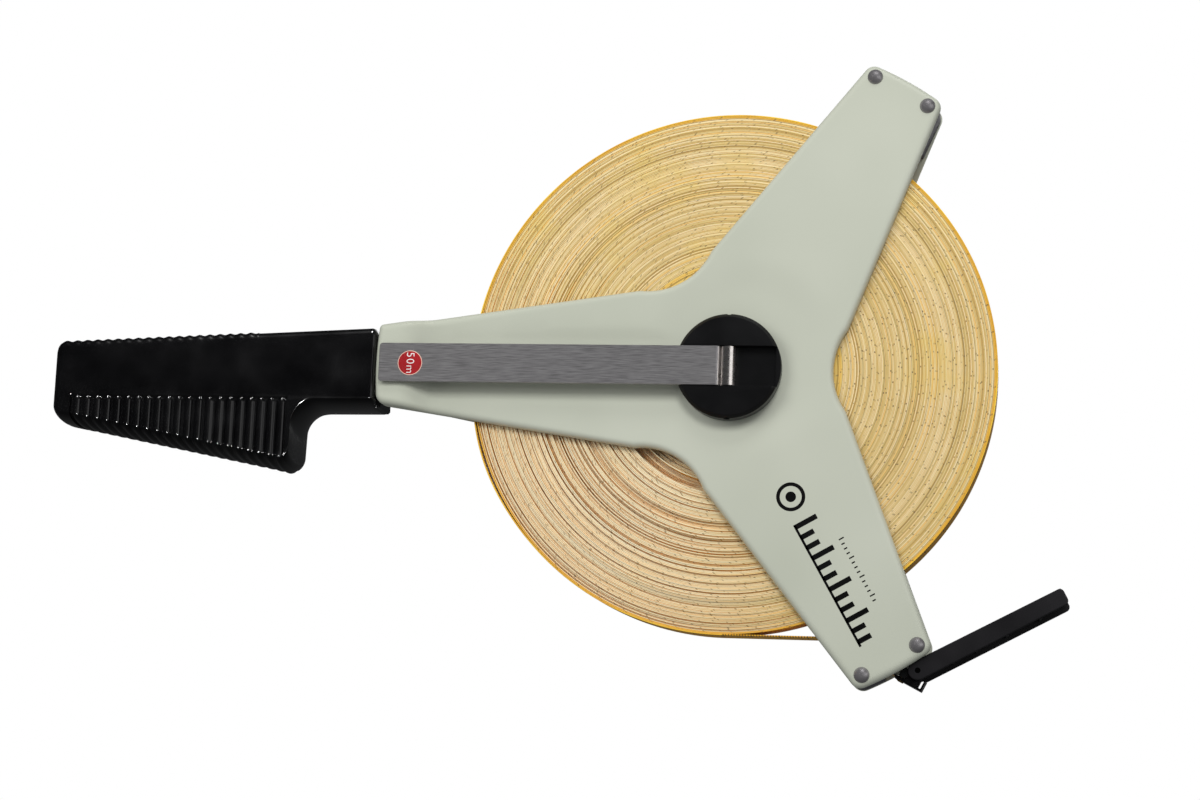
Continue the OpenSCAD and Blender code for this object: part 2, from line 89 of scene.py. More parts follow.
ARM_ANGLES = (60, 180, 300)
ARM_ROOT = 28.7
ARM_TAPER = 0.109
ARM_END = 123.6
TIP_R = 4.0
SHARP_TIP_R = 1.8
HOLLOW_R = 25.0
SLANT = math.hypot(1, ARM_TAPER)
TAPER_DEG = math.degrees(math.atan(ARM_TAPER))
EDGE_R = 2.5
EDGE_INSETS = (0, 0.1, 0.35, 0.75, 1.25, 1.85, 2.5, 3.4)
BUSH_HOLE_R = 12.52
RIVET_U, RIVET_V = 118.8, 11.0

HINGE_W = 15.2
STRIP_TOP = 17.83
STRIP_T = 1.6
STRIP_HALF = 7.1
STRIP_END = -reach("crank_arm", X)[0]
BARREL_R = 2.6
KNOB_AT = (-107, 0)

BEND_X, LEAD_Y = 37.2, -(COIL_R + 0.26)
EXIT_FALL = math.radians(27)
FALL = (math.cos(EXIT_FALL), -math.sin(EXIT_FALL))
LIFT = (-FALL[1], FALL[0])
MOUTH_LEN = 27.7

FLOOR_Z = -0.47  # in metres


# ---- small tools ----

def arc(centre, radius, start, stop, count):
    """Points of an arc from start to stop degrees, both ends included."""
    angles = [math.radians(start + (stop - start) * i / (count - 1)) for i in range(count)]
    return [(centre[0] + radius * math.cos(a), centre[1] + radius * math.sin(a)) for a in angles]


def turned(points, degrees):
    c, s = math.cos(math.radians(degrees)), math.sin(math.radians(degrees))
    return [(x * c - y * s, x * s + y * c) for x, y in points]


def between(a, b, count):
    """count points spread evenly between a and b, with both of them left out."""
    shares = [(i + 1) / (count + 1) for i in range(count)]
    return [(a[0] + (b[0] - a[0]) * t, a[1] + (b[1] - a[1]) * t) for t in shares]


def smoothstep(low, high, value):
    t = min(1.0, max(0.0, (value - low) / (high - low)))
    return t * t * (3 - 2 * t)


def finish_mesh(mesh, sharp=32):
    """Points every face outwards and keeps only the edges above the sharp angle hard."""
    bm = bmesh.new()
    bm.from_mesh(mesh)
    bmesh.ops.recalc_face_normals(bm, faces=bm.faces)
    bm.to_mesh(mesh)
    bm.free()
    mesh.shade_smooth()
    mesh.set_sharp_from_angle(angle=math.radians(sharp))


def add_piece(name, mesh, materials, body, stands_for=()):
    piece = bpy.data.objects.new(name, mesh)
    bpy.context.scene.collection.objects.link(piece)
    # clearing would also reset which face has which material, so it's only done for copied meshes
    if len(mesh.materials):
        mesh.materials.clear()
    for material in materials:
        mesh.materials.append(material)
    if body:
        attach(piece, body)
    if stands_for:
        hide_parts(*stands_for)
    return piece


def new_mesh(name, points, faces, sharp=32):
    mesh = bpy.data.meshes.new(name)
    mesh.from_pydata([place(*p) for p in points], [], faces)
    finish_mesh(mesh, sharp)
    return mesh


def loft(rings, caps=True):
    """Points and faces of a skin over rings that all have the same number of points."""
    count = len(rings[0])
    points = [p for ring in rings for p in ring]
    faces = []
    for i in range(len(rings) - 1):
        for j in range(count):
            a, b = i * count + j, i * count + (j + 1) % count
            faces.append((a, b, b + count, a + count))
    if caps:
        faces.append(tuple(range(count))[::-1])
        faces.append(tuple(range(len(points) - count, len(points))))
    return points, faces


def loop(rings):
    """Points and faces of a skin over rings of which the last is joined to the first."""
    points, faces = loft(rings, caps=False)
    count = len(rings[0])
    last = (len(rings) - 1) * count
    for j in range(count):
        k = (j + 1) % count
        faces.append((last + j, last + k, k, j))
    return points, faces


def merge(parts):
    """One list of points and one of faces from several pairs of them."""
    points, faces = [], []
    for more_points, more_faces in parts:
        start = len(points)
        points += more_points
        faces += [tuple(start + i for i in face) for face in more_faces]
    return points, faces


def lathe(profile, centre, steps):
    """Skin of a closed profile of (radius, w) points turned about the w axis through centre."""
    rings = []
    for i in range(steps):
        c, s = math.cos(2 * math.pi * i / steps), math.sin(2 * math.pi * i / steps)
        rings.append([(centre[0] + r * c, centre[1] + r * s, w) for r, w in profile])
    return loop(rings)


def prism(outline, low, high):
    return loft([[(x, y, low) for x, y in outline], [(x, y, high) for x, y in outline]])


# ---- materials ----

def srgb(red, green, blue):
    """A linear colour from the usual 0 to 255 values."""
    parts = [v / 255 for v in (red, green, blue)]
    return tuple(v / 12.92 if v <= 0.04045 else ((v + 0.055) / 1.055) ** 2.4 for v in parts) + (1.0,)


class Paint:
    """A material whose nodes are added one by one, with short names for the common ones."""

    def __init__(self, name, colour, roughness, metallic=0.0, specular=0.5):
        self.material = bpy.data.materials.new(name)
        self.material.use_nodes = True
        self.material.diffuse_color = colour
        self.tree = self.material.node_tree
        self.shader = self.tree.nodes["Principled BSDF"]
        self.set("Base Color", colour)
        self.set("Roughness", roughness)
        self.set("Metallic", metallic)
        self.set("Specular IOR Level", specular)

    def set(self, socket, value):
        self.feed(self.shader.inputs[socket], value)

    def node(self, kind, **inputs):
        made = self.tree.nodes.new(kind)
        for name, value in inputs.items():
            self.feed(made.inputs[name.replace("_", " ")], value)
        return made

    def feed(self, socket, value):
        """Links another node's output to a socket, or gives the socket a plain value."""
        if isinstance(value, bpy.types.NodeSocket):
            self.tree.links.new(value, socket)
        else:
            socket.default_value = value

    def math(self, operation, a, b=0.0):
        made = self.tree.nodes.new("ShaderNodeMath")
        made.operation = operation
        self.feed(made.inputs[0], a)
        self.feed(made.inputs[1], b)
        return made.outputs[0]

    def position(self):
        """The point on the piece at rest, in millimetres, as separate x, depth and height."""
        coords = self.tree.nodes.new("ShaderNodeTexCoord").outputs["Object"]
        parts = self.node("ShaderNodeSeparateXYZ", Vector=coords)
        return [self.math("DIVIDE", parts.outputs[i], MM) for i in range(3)]

    def scaled(self, sx, sy, sz):
        """Texture coordinates in which one unit is 1/s metres along each axis."""
        coords = self.tree.nodes.new("ShaderNodeTexCoord").outputs["Object"]
        mapping = self.node("ShaderNodeMapping", Vector=coords)
        mapping.inputs["Scale"].default_value = (sx, sy, sz)
        return mapping.outputs["Vector"]

    def noise(self, scale, detail=3.0, vector=None):
        coords = vector or self.tree.nodes.new("ShaderNodeTexCoord").outputs["Object"]
        return self.node("ShaderNodeTexNoise", Vector=coords, Scale=scale, Detail=detail).outputs["Fac"]

    def chance(self, number):
        """A random value from 0 to 1 that belongs to a whole number."""
        made = self.tree.nodes.new("ShaderNodeTexWhiteNoise")
        made.noise_dimensions = "1D"
        self.feed(made.inputs["W"], number)
        return made.outputs["Value"]

    def ramp(self, value, low, high, out_low=0.0, out_high=1.0):
        made = self.tree.nodes.new("ShaderNodeMapRange")
        for i, part in enumerate((value, low, high, out_low, out_high)):
            self.feed(made.inputs[i], part)
        return made.outputs[0]

    def mix(self, share, a, b):
        made = self.tree.nodes.new("ShaderNodeMix")
        made.data_type = "RGBA"
        self.feed(made.inputs[0], share)
        self.feed(made.inputs[6], a)
        self.feed(made.inputs[7], b)
        return made.outputs[2]

    def bump(self, height, distance, strength=1.0):
        made = self.node("ShaderNodeBump", Height=height, Strength=strength, Distance=distance * MM)
        self.set("Normal", made.outputs["Normal"])


def frame_paint():
    """Satin sage-grey paint with a very fine orange-peel."""
    dark, light = srgb(180, 184, 168), srgb(197, 200, 185)
    paint = Paint("frame_paint", light, 0.42)
    broad = paint.noise(14.0, 2.0)
    fine = paint.noise(900.0, 4.0)
    paint.set("Base Color", paint.mix(paint.ramp(broad, 0.3, 0.7, 0.25, 0.95), dark, light))
    paint.set("Roughness", paint.ramp(fine, 0.3, 0.7, 0.38, 0.5))
    paint.bump(fine, 0.012, 0.5)
    return paint.material


def moulded(name, colour, roughness, grain=0.012, specular=0.5):
    """Moulded plastic: a fine grain, and roughness that drifts a little over the surface."""
    paint = Paint(name, colour, roughness, specular=specular)
    fine = paint.noise(1400.0, 3.0)
    broad = paint.noise(60.0, 2.0)
    shade = tuple(min(1.0, v * 1.6 + 0.001) for v in colour[:3]) + (1.0,)
    paint.set("Base Color", paint.mix(paint.ramp(broad, 0.35, 0.75), colour, shade))
    paint.set("Roughness", paint.ramp(broad, 0.3, 0.7, roughness - 0.05, roughness + 0.07))
    paint.bump(fine, grain, 0.6)
    return paint.material


def brushed_steel(name, colour, roughness):
    """Steel brushed along x, with long fine scratches."""
    paint = Paint(name, colour, roughness, metallic=0.6)
    lines = paint.noise(1.0, 5.0, paint.scaled(170, 5000, 5000))
    scratches = paint.noise(1.0, 2.0, paint.scaled(60, 2500, 2500))
    patches = paint.noise(1.0, 2.0, paint.scaled(40, 200, 200))
    dark = tuple(v * 0.6 for v in colour[:3]) + (1.0,)
    light = tuple(v * 1.4 for v in colour[:3]) + (1.0,)
    tone = paint.mix(paint.ramp(lines, 0.3, 0.7), dark, light)
    scratch = paint.ramp(scratches, 0.66, 0.74)
    tone = paint.mix(paint.math("MULTIPLY", scratch, 0.5), tone, srgb(176, 176, 178))
    paint.set("Base Color", tone)
    paint.set("Roughness", paint.ramp(patches, 0.3, 0.7, roughness - 0.06, roughness + 0.06))
    paint.bump(lines, 0.01, 0.7)
    return paint.material


def bright_metal(name, colour, roughness, metallic=1.0):
    paint = Paint(name, colour, roughness, metallic=metallic)
    fine = paint.noise(500.0, 4.0)
    paint.set("Roughness", paint.ramp(fine, 0.3, 0.7, roughness * 0.7, roughness * 1.4))
    paint.bump(fine, 0.006, 0.4)
    return paint.material


TAPE_YELLOW = srgb(228, 176, 56)
TAPE_SAND = srgb(226, 194, 132)
TAPE_INK = srgb(40, 34, 28)


def tape_face(name, along):
    """The tape's printed face: yellow, with a tick at each millimetre from the front edge.
    along(paint) gives the distance along the tape in millimetres."""
    paint = Paint(name, TAPE_YELLOW, 0.38)
    distance = along(paint)
    depth = paint.position()[1]
    from_edge = paint.math("ADD", depth, TAPE_HALF)
    millimetre = paint.math("LESS_THAN", paint.math("FRACT", distance), 0.34)
    tenth = paint.math("FRACT", paint.math("DIVIDE", distance, 10.0))
    centimetre = paint.math("LESS_THAN", tenth, 0.05)
    short = paint.math("MULTIPLY", millimetre, paint.math("LESS_THAN", from_edge, 2.6))
    long = paint.math("MULTIPLY", centimetre, paint.math("LESS_THAN", from_edge, 5.5))
    ink = paint.math("MAXIMUM", short, long)
    weave = paint.noise(1.0, 3.0, paint.scaled(1500, 1500, 1500))
    ground = paint.mix(paint.ramp(weave, 0.35, 0.65), TAPE_YELLOW, srgb(214, 150, 38))
    paint.set("Base Color", paint.mix(paint.math("MULTIPLY", ink, 0.8), ground, TAPE_INK))
    paint.bump(weave, 0.01, 0.5)
    return paint.material


def along_x(paint):
    return paint.math("ADD", paint.position()[0], 400.0)


def round_coil(paint):
    x, _, z = paint.position()
    return paint.math("ADD", paint.math("MULTIPLY", paint.math("ARCTAN2", z, x), COIL_R), 700.0)


def coil_side():
    """Edges of the wound tape: sandy, banded turn by turn, with the ends of the centimetre marks.
    The mark on each turn lies where the tape's running length is a whole number of centimetres."""
    paint = Paint("tape_edge", TAPE_SAND, 0.55)
    x, _, z = paint.position()
    squares = paint.math("MULTIPLY", x, x), paint.math("MULTIPLY", z, z)
    radius = paint.math("SQRT", paint.math("ADD", *squares))
    turn = paint.math("FLOOR", paint.math("DIVIDE", paint.math("SUBTRACT", radius, DRUM_R), PITCH))
    wound = paint.math("MULTIPLY", turn, 2 * math.pi * DRUM_R)
    grown = paint.math("MULTIPLY", paint.math("MULTIPLY", turn, turn), math.pi * TAPE_T)
    angle = paint.math("ARCTAN2", z, x)
    part = paint.math("MULTIPLY", angle, radius)
    length = paint.math("ADD", paint.math("ADD", wound, grown), paint.math("ADD", part, 4000.0))
    tenth = paint.math("DIVIDE", length, 10.0)
    mark = paint.math("LESS_THAN", paint.math("FRACT", tenth), 0.055)
    clear = paint.chance(paint.math("FLOOR", tenth))
    mark = paint.math("MULTIPLY", mark, paint.ramp(clear, 0.0, 1.0, 0.15, 0.9))
    # each turn has its own tone, and the tone drifts slowly round the coil
    tone = paint.chance(turn)
    drift = paint.noise(45.0, 4.0)
    streak = paint.math("ADD", paint.math("MULTIPLY", tone, 0.65), paint.math("MULTIPLY", drift, 0.6))
    warm = paint.mix(paint.ramp(streak, 0.35, 0.9), srgb(208, 184, 120), srgb(240, 222, 176))
    gold = paint.mix(paint.ramp(drift, 0.52, 0.68, 0.0, 0.55), warm, srgb(220, 194, 104))
    inner = paint.ramp(radius, SLACK_R[0] - 0.5, SLACK_R[0] - 0.4, 0.8, 0.0)
    gold = paint.mix(inner, gold, srgb(232, 200, 108))
    gold = paint.mix(paint.ramp(tone, 0.05, 0.1, 0.5, 0.0), gold, srgb(146, 112, 56))
    gold = paint.mix(paint.ramp(tone, 0.88, 0.9, 0.0, 0.6), gold, srgb(232, 184, 78))
    # painted sheen: the loose turns on the lower left are painted paler in place of the light their edges
    # catch, and the outermost ones are bright yellow
    facing = paint.math("COSINE", paint.math("SUBTRACT", angle, LOOSE_ANGLE))
    gold = paint.mix(paint.ramp(facing, 0.4, 0.95, 0.0, 0.8), gold, srgb(244, 230, 196))
    gold = paint.mix(paint.ramp(radius, COIL_R - 0.75, COIL_R - 0.65, 0.0, 0.9), gold, srgb(232, 178, 60))
    sand = paint.mix(mark, gold, srgb(118, 102, 74))
    true_normal = paint.node("ShaderNodeNewGeometry").outputs["True Normal"]
    normal = paint.node("ShaderNodeSeparateXYZ", Vector=true_normal)
    side = paint.ramp(paint.math("ABSOLUTE", normal.outputs[1]), 0.35, 0.75)
    paint.set("Base Color", paint.mix(side, TAPE_YELLOW, sand))
    paint.set("Roughness", paint.ramp(tone, 0.0, 1.0, 0.42, 0.68))
    paint.bump(paint.noise(700.0, 3.0), 0.03, 0.5)
    return paint.material


PLATE = frame_paint()
BLACK = moulded("black_plastic", srgb(14, 14, 15), 0.38, specular=0.35)
BAR_BLACK = moulded("bar_plastic", srgb(26, 25, 27), 0.42, specular=0.35)
GRIP_BLACK = moulded("grip_plastic", srgb(3, 3, 4), 0.18, grain=0.003, specular=0.4)
GREY = moulded("dark_grey_plastic", srgb(74, 72, 78), 0.5)
DRUM = moulded("drum_plastic", srgb(96, 96, 94), 0.5)
STEEL = bright_metal("steel_plain", srgb(196, 194, 192), 0.28)
RIVET = bright_metal("steel_rivet", srgb(158, 155, 157), 0.4, 0.7)
DARK_STEEL = bright_metal("dark_steel", srgb(60, 58, 60), 0.4)
BRASS = bright_metal("brass", srgb(205, 172, 110), 0.3)
STRIP = brushed_steel("steel_strip", srgb(152, 150, 151), 0.4)
BARREL = bright_metal("barrel_steel", srgb(240, 234, 230), 0.28)
COIL_SIDE = coil_side()
COIL_FACE = tape_face("tape_face_round", round_coil)
LEAD_FACE = tape_face("tape_yellow", along_x)
TAPE_RIM = moulded("tape_rim", srgb(228, 172, 56), 0.45)
RED = moulded("label_red", srgb(150, 20, 26), 0.4, grain=0.004)
LABEL_RIM = moulded("label_rim", srgb(214, 176, 160), 0.4, grain=0.004)
INK = moulded("print_black", srgb(12, 12, 12), 0.5, grain=0.003, specular=0.15)
# painted shade for the bar's pivot hole: flat near-black without sheen
PIVOT_SHADE = moulded("pivot_shade_paint", srgb(2, 2, 2), 0.9, specular=0.0)
WHITE = moulded("print_white", srgb(232, 228, 224), 0.45, grain=0.003)


# ---- the two plates ----

def arm_corner(root, end, tip):
    """Centre of the rounded corner of radius tip at an arm's end, as (along, across)."""
    a, e = root - tip * SLANT, end - tip
    u = (a * ARM_TAPER + math.sqrt((e * SLANT) ** 2 - a * a)) / SLANT ** 2
    return u, a - ARM_TAPER * u


def plate_outline(inset=0.0):
    """The plates' outline, or the parallel line inside it, as the same number of points each time."""
    root = ARM_ROOT - inset * SLANT
    half_open = 60 - TAPER_DEG
    hollow = HOLLOW_R + inset
    corner = root / (math.sin(math.radians(60)) + ARM_TAPER * 0.5)
    middle = corner + hollow / math.sin(math.radians(half_open))
    arcs = []
    for angle in ARM_ANGLES:
        end = (GRIP_ARM_END if angle == 180 else ARM_END) - inset
        tip = max(TIP_R - inset, 0.5)
        first_tip = max(SHARP_TIP_R - inset, 0.3) if angle == 180 else tip
        (u0, v0), (u1, v1) = arm_corner(root, end, first_tip), arm_corner(root, end, tip)
        nose0, nose1 = math.degrees(math.atan2(v0, u0)), math.degrees(math.atan2(v1, u1))
        side = 90 - TAPER_DEG
        arm = arc((u0, -v0), first_tip, -side, -nose0, 10) + arc((0, 0), end, -nose0, nose1, 16)[1:-1]
        arm += arc((u1, v1), tip, nose1, side, 10)
        arcs.append(turned(arm, angle))
        notch = arc((middle, 0), hollow, 270 - half_open, 90 + half_open, 17)
        arcs.append(turned(notch, angle + 60))
    points = []
    for i, piece in enumerate(arcs):
        points += piece + between(piece[-1], arcs[(i + 1) % len(arcs)][0], 64)
    return points


def slimmer(points):
    """Narrows the rear plate's grip arm towards its end."""
    start, cut = 62.0, 2.9
    done = []
    for x, y in points:
        half = ARM_ROOT + ARM_TAPER * x
        share = max(0.0, -x - start) / (GRIP_ARM_END - start)
        done.append((x, y * (half - cut * share) / half if x < -start else y))
    return done


def inside_plate(x, y, margin):
    if math.hypot(x, y) < 31:
        return True
    for angle in ARM_ANGLES:
        u, v = turned([(x, y)], -angle)[0]
        end = GRIP_ARM_END if angle == 180 else ARM_END
        if u > 0 and abs(v) < ARM_ROOT - ARM_TAPER * u - margin and math.hypot(u, v) < end - margin:
            return True
    return False


PRESS_DEPTH = 0.85
DISH_AT = (5, 5)
DISH_WALL = (23, 37)
CHANNEL_WALL = (9.5, 15.5)
CHANNEL_OUTER_END = (-118, -108)
CHANNEL_HUB_END = (0, 8)
# it starts nearer the hub than the CAD's pad, so the folded knob's edge sinks 0.2 mm into it
PAD_SLOPE = (-120.5, -108.5)


def pressing(x, y):
    """Depth of the shallow dish round the hub and of the channel under the folded crank."""
    dish = 1 - smoothstep(*DISH_WALL, math.hypot(x - DISH_AT[0], y - DISH_AT[1]))
    channel = (1 - smoothstep(*CHANNEL_WALL, abs(y))) * smoothstep(*CHANNEL_OUTER_END, x)
    channel *= 1 - smoothstep(*CHANNEL_HUB_END, x)
    return PRESS_DEPTH * max(dish, channel)


def pad_rise(x):
    """Height of the raised pad beside the grip."""
    return (PAD_TOP - PLATE_OUT) * (1 - smoothstep(*PAD_SLOPE, x))


def filling(step):
    """A triangular grid of points, step apart, clear of the plate's edge and of its hole."""
    row_share = 0.866
    margin = EDGE_INSETS[-1] + 2.6
    rows = int(2 * ARM_END / step) + 2
    for row in range(rows):
        y = -ARM_END + row * step * row_share
        for column in range(rows + 8):
            x = -GRIP_ARM_END + (column + 0.5 * (row % 2)) * step
            if math.hypot(x, y) > BUSH_HOLE_R + step * 0.6 and inside_plate(x, y, margin):
                yield x, y


def plate_mesh(name, level, back, shape):
    """A plate with a rolled edge: level(x, y) is its outer face and back its flat inner face."""
    rings = [[(x, y, back) for x, y in shape(plate_outline())]]
    for inset in EDGE_INSETS:
        fall = EDGE_R - math.sqrt(max(0.0, EDGE_R ** 2 - (EDGE_R - min(inset, EDGE_R)) ** 2))
        sign = 1 if back > 0 else -1
        rings.append([(x, y, level(x, y) - sign * fall) for x, y in shape(plate_outline(inset))])
    points, faces = loft(rings, caps=False)
    count = len(rings[0])
    hole = arc((0, 0), BUSH_HOLE_R, 0, 360, 65)[:-1]
    outer_hole = len(points)
    points += [(x, y, level(x, y)) for x, y in hole]
    back_hole = len(points)
    points += [(x, y, back) for x, y in hole]
    n = len(hole)
    for j in range(n):
        k = (j + 1) % n
        faces.append((outer_hole + j, outer_hole + k, back_hole + k, back_hole + j))
    for ring, hole_at, step in ((len(rings) - 1, outer_hole, 2.2), (0, back_hole, 9.0)):
        own = [ring * count + i for i in range(count)] + [hole_at + i for i in range(n)]
        flat = [Vector(points[i][:2]) for i in own]
        edges = [(i, (i + 1) % count) for i in range(count)]
        edges += [(count + i, count + (i + 1) % n) for i in range(n)]
        for x, y in filling(step):
            own.append(len(points))
            points.append((x, y, level(x, y) if hole_at == outer_hole else back))
            flat.append(Vector((x, y)))
        triangles = delaunay_2d_cdt(flat, edges, [], 1, 1e-4)[2]
        for triangle in triangles:
            middle = sum((flat[i] for i in triangle), Vector((0, 0))) / 3
            if middle.length > BUSH_HOLE_R * 0.99:
                faces.append(tuple(own[i] for i in triangle))
    return new_mesh(name, points, faces, 40)


def plates():
    def front_face(x, y):
        return PLATE_OUT - pressing(x, y) + pad_rise(x)

    front = plate_mesh("front_shell", front_face, PLATE_IN, list)
    add_piece("front_shell", front, [PLATE], "frame", ["front_plate"])
    rear = plate_mesh("rear_shell", lambda x, y: -PLATE_OUT, -PLATE_IN, slimmer)
    add_piece("rear_shell", rear, [PLATE], "frame", ["rear_plate"])


# ---- rivets and print ----

def dome_profile(radius, rise, foot):
    """Half of a low dome from its rim to its crown, standing on foot."""
    ball = (radius ** 2 + rise ** 2) / (2 * rise)
    spread = math.degrees(math.asin(radius / ball))
    return [(r, w + foot + rise - ball) for w, r in arc((0, 0), ball, spread, 0, 12)]


def rivets():
    head_r, rise, shank_r = 2.8, 1.75, 1.6
    front = [(head_r - 0.05, PLATE_OUT - 0.3)] + dome_profile(head_r, rise, PLATE_OUT)[:-1]
    front.append((0.02, PLATE_OUT + rise))
    back = [(r, -w) for r, w in reversed(front)]
    profile = back + [(shank_r, -PLATE_OUT), (shank_r, PLATE_OUT)] + front
    parts = []
    for angle in (60, 300):
        for v in (-RIVET_V, RIVET_V):
            parts.append(lathe(profile, turned([(RIVET_U, v)], angle)[0], 40))
    mesh = new_mesh("rivets", *merge(parts), 50)
    add_piece("rivets", mesh, [RIVET], "frame", ["arm_rivets"])


def arm_print():
    """A plain scale in place of any lettering, on the lower arm: a bar with ticks, a row of fine
    ticks, and a ring round a dot."""
    face = PLATE_OUT + 0.015
    start, end, foot, step = 61, 110, -7.0, 4.2
    ring_at, ring_low, ring_high, dot_r = (51.5, -2.8), 3.9, 5.2, 1.9
    shapes = [[(start, foot), (end, foot), (end, foot + 0.9), (start, foot + 0.9)]]
    for i in range(12):
        u, tall = start + i * step, 9.0 if i % 3 == 0 else 5.6
        shapes.append([(u, foot), (u + 1.9, foot), (u + 1.9, foot + tall), (u, foot + tall)])
    for i in range(14):
        u, tall = 73 + i * 1.9, 2.0 if i % 4 == 0 else 1.3
        shapes.append([(u, 4.8), (u + 0.5, 4.8), (u + 0.5, 4.8 + tall), (u, 4.8 + tall)])
    for i in range(48):
        a0, a1 = (2 * math.pi * (i + k) / 48 for k in (0, 1))
        corners = ((a0, ring_low), (a0, ring_high), (a1, ring_high), (a1, ring_low))
        shapes.append([(ring_at[0] + r * math.cos(a), ring_at[1] + r * math.sin(a)) for a, r in corners])
    turns = [2 * math.pi * i / 32 for i in range(32)]
    shapes.append([(ring_at[0] + dot_r * math.cos(a), ring_at[1] + dot_r * math.sin(a)) for a in turns])
    parts = [prism(turned(shape, 300), face - 0.03, face) for shape in shapes]
    mesh = new_mesh("arm_print", *merge(parts))
    add_piece("arm_print", mesh, [INK], "frame")


# ---- grip ----

RIB_PITCH = 3.94
RIB_FIRST, RIB_LAST = -243.4, -164.6
RIB_TOP = -13.0
RIB_R = 1.4
RIB_DEPTH = 1.05
GRIP_FAR = -reach("grip", X)[0]
GRIP_NEAR = 130.1
GRIP_HALF = reach("grip", Y)[1]


def rib_height(x, y):
    """Height of the finger ribs, rods with round upper ends: 1 on a crest and 0 between them."""
    u = (x - RIB_FIRST) / RIB_PITCH
    off = (u - round(u)) * RIB_PITCH / RIB_R
    end = max(0.0, y - (RIB_TOP - 0.4 - RIB_R)) / RIB_R
    return math.sqrt(max(0.0, 1 - off * off - end * end))


def grip_floor():
    """The underside from the outer end to the plates, as (x, y) points with x rising."""
    tip, tip_r = (-164.6, -35.3), 3.6
    hollow, hollow_r = (-150.3, -26.9), 10.5
    count = int((GRIP_FAR + tip[0]) / (RIB_PITCH / 12))
    line = [(-GRIP_FAR, -22.2)] + between((-GRIP_FAR, -22.2), (tip[0], tip[1] - tip_r), count)
    return (line + arc(tip, tip_r, 270, 352, 14) + arc(hollow, hollow_r, 178, 90, 22)
            + between((hollow[0], hollow[1] + hollow_r), (-GRIP_NEAR, -16.1), 40) + [(-GRIP_NEAR, -16.1)])


def grip_section(x, floor):
    """Closed section of the grip at x, as (y, w) points, from the top round the front to the back."""
    far_top, near_top = 6.9, 13.3
    far_r, near_r = 3.2, 1.6
    top = far_top + (x + GRIP_FAR) * (near_top - far_top) / (GRIP_FAR - GRIP_NEAR)
    far_in = max(0.0, far_r - (x + GRIP_FAR))
    near_in = max(0.0, near_r - (-GRIP_NEAR - x))
    # how far the ends' rounding pulls the section in
    pull = far_r - math.sqrt(max(0.0, far_r ** 2 - far_in ** 2)) + near_r
    pull -= math.sqrt(max(0.0, near_r ** 2 - near_in ** 2))
    top -= pull
    low = floor + 0.6 * pull
    half = GRIP_HALF - pull
    rise = min(4.2, RIB_TOP - low)
    span = RIB_TOP + 1.2 - low - rise
    dense = min(4.25, 0.75 * span)
    side = [(top, half - EDGE_R - 9 + 3 * i) for i in range(3)]
    side += [(y, w) for w, y in arc((half - EDGE_R, top - EDGE_R), EDGE_R, 90, 0, 7)]
    side += [(y, half) for _, y in between((0, top - EDGE_R), (0, RIB_TOP + 1.2), 8)]
    side += [(RIB_TOP + 1.2 - dense * i / 17, half) for i in range(18)]
    side += [(y, half) for _, y in between((0, RIB_TOP + 1.2 - dense), (0, low + rise), 8)]
    quarter = [math.pi / 32 * i for i in range(16)]
    side += [(low + rise * (1 - math.sin(t)), half * math.cos(t)) for t in quarter]
    shaped = []
    for y, w in side:
        depth = 0.0
        if RIB_FIRST - 2.2 < x < RIB_LAST + 2.2:
            depth = RIB_DEPTH * (sunk_share(y) - rib_height(x, y))
        elif x > RIB_LAST:
            depth = 0.3 * sunk_share(y)
        below = min(1.0, max(0.0, (low + rise - y) / rise))
        slope = math.asin(below)
        shaped.append((y + depth * math.sin(slope), w - depth * math.cos(slope)))
    if -251 < x < -175:
        crest = 0.5 * (0.5 - 0.5 * math.cos(2 * math.pi * (x + 251) / RIB_PITCH))
        shaped = [(y + crest * smoothstep(top - 3.5, top - 0.2, y), w) for y, w in shaped]
    return shaped + [(y, -w) for y, w in reversed(shaped)]


def sunk_share(y):
    """0 above the ribbed part of the face and 1 below it, with a round shoulder."""
    return 1 - smoothstep(RIB_TOP - 1.3, RIB_TOP + 0.8, y)


def grip():
    back_r, back_from = 7.0, -8.2
    rings = []
    for x, floor in grip_floor():
        guard = smoothstep(-172, -163, x) * (1 - smoothstep(-150, -136, x))
        end = smoothstep(-140, -GRIP_NEAR, x)
        ring = []
        for y, w in grip_section(x, floor):
            back = back_r - math.sqrt(max(0.0, back_r ** 2 - max(0.0, back_from - w) ** 2))
            ring.append((x - guard * 1.6 * (GRIP_HALF - w) / (2 * GRIP_HALF) - end * back, y, w))
        rings.append(ring)
    body = loft(rings)
    inside = -GRIP_NEAR - 4
    outline = [(inside, -15.4), (-129.6, -15.4), (-128.9, -14.7), (-128.9, 12.4), (inside, 12.4)]
    step = prism(outline, -PLATE_IN + 0.03, PLATE_IN - 0.03)
    tongue = prism([(-128, -11.8), (-113.8, -11.8), (-113.8, 11.8), (-128, 11.8)], -7.0, 7.0)
    mesh = new_mesh("grip_body", *merge([body, step, tongue]), 48)
    add_piece("grip_body", mesh, [GRIP_BLACK], "frame", ["grip"])


# ---- coil of tape ----

